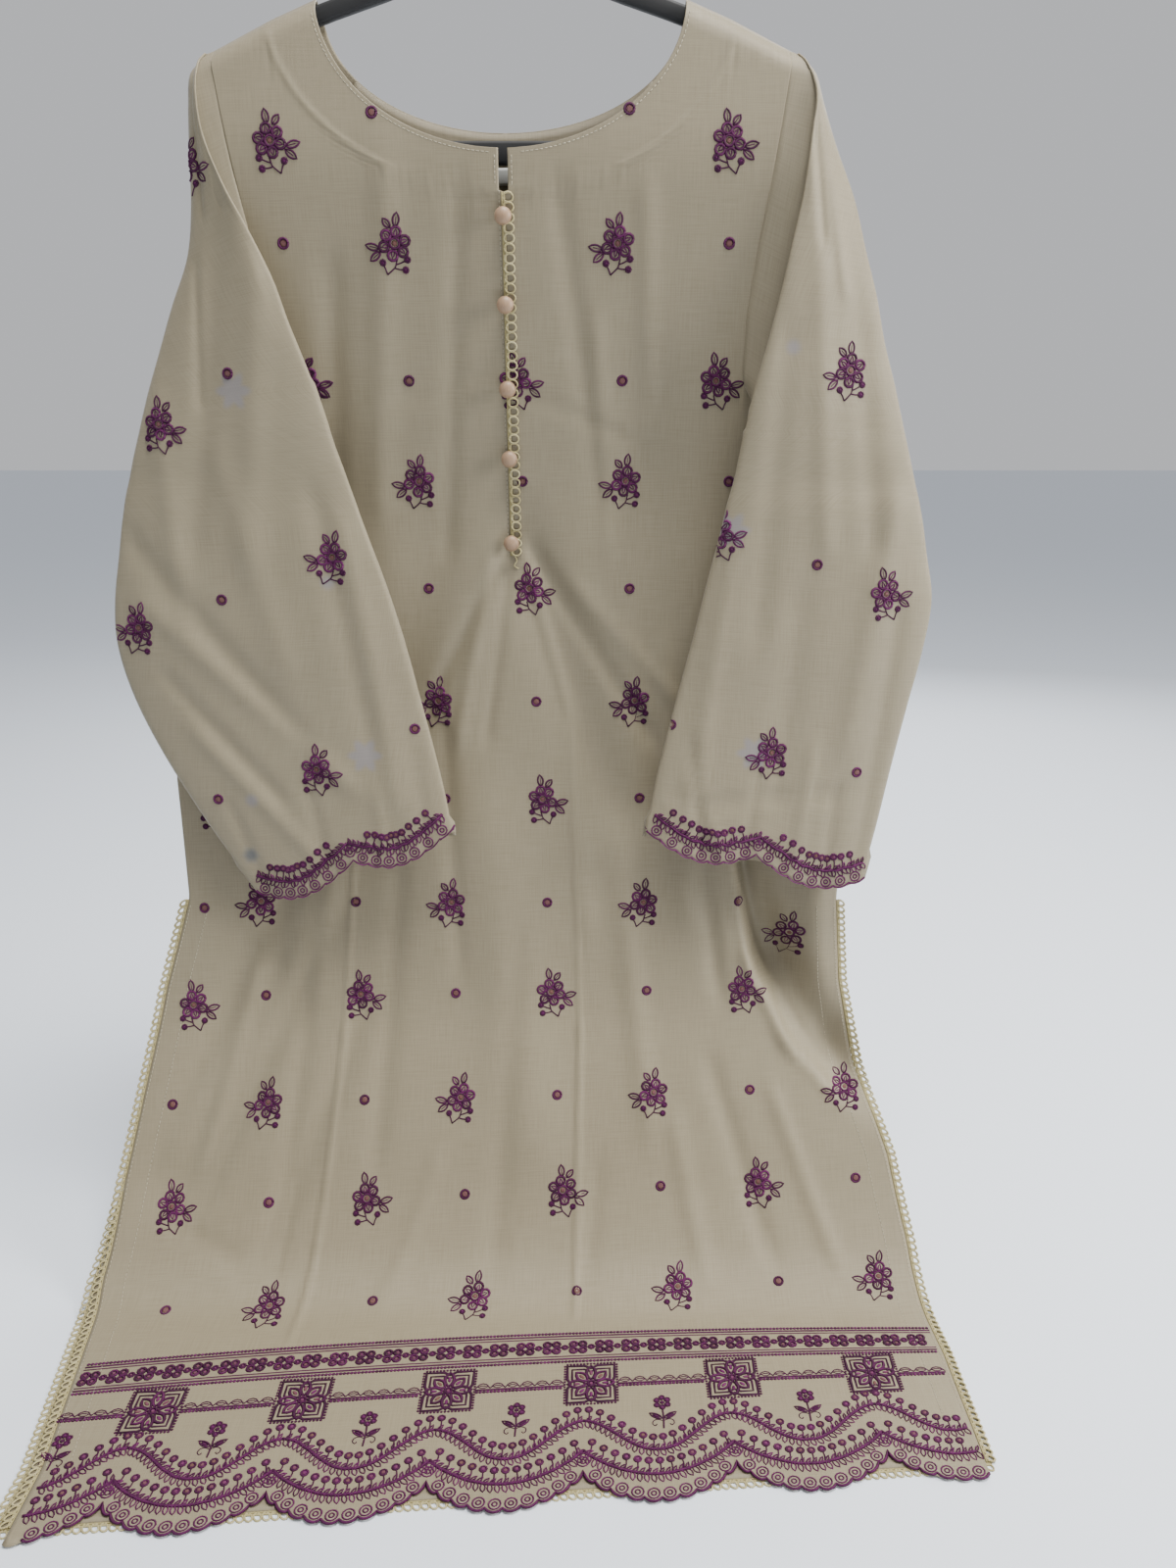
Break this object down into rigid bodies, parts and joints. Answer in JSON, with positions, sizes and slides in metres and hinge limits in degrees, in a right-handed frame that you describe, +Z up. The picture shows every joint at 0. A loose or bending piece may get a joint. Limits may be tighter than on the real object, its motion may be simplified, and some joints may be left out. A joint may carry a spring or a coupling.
{
  "type": "embroidered kameez tunic on a clothes hanger",
  "caption": "Long cream kameez tunic with plum embroidery and loop lace, hung on a plain hanger with its hem swept forward onto a table.",
  "frame": {"origin": "top of the inside of the hanger hook's bend, where a rail carries it", "axes": "+Z up, the front of the garment faces -Y, +X to the viewer's right"},
  "size_m": [0.6101, 0.3652, 0.9529],
  "materials": {
    "lawn": "fine plain-woven cotton-silk lawn, stone cream, with a light sheen and plum thread embroidery",
    "lace": "pale yellow-cream looped cord lace",
    "label": "plain white woven tape, bare",
    "button": "light tan turned wood, satin",
    "hanger": "black, matt",
    "hook": "bright wire"
  },
  "bodies": {
    "root": {"front_panel": "lawn", "back_panel": "lawn", "sleeve_left": "lawn", "sleeve_right": "lawn", "neck_facing_back": "lawn", "neck_label": "label", "placket_lace": "lace", "slit_lace_front_left": "lace", "slit_lace_front_right": "lace", "slit_lace_back_left": "lace", "slit_lace_back_right": "lace", "hem_lace_back": "lace", "button_1": "button", "button_2": "button", "button_3": "button", "button_4": "button", "button_5": "button", "hanger_frame": "hanger", "hanger_hook": "hook"}
  },
  "joints": []
}
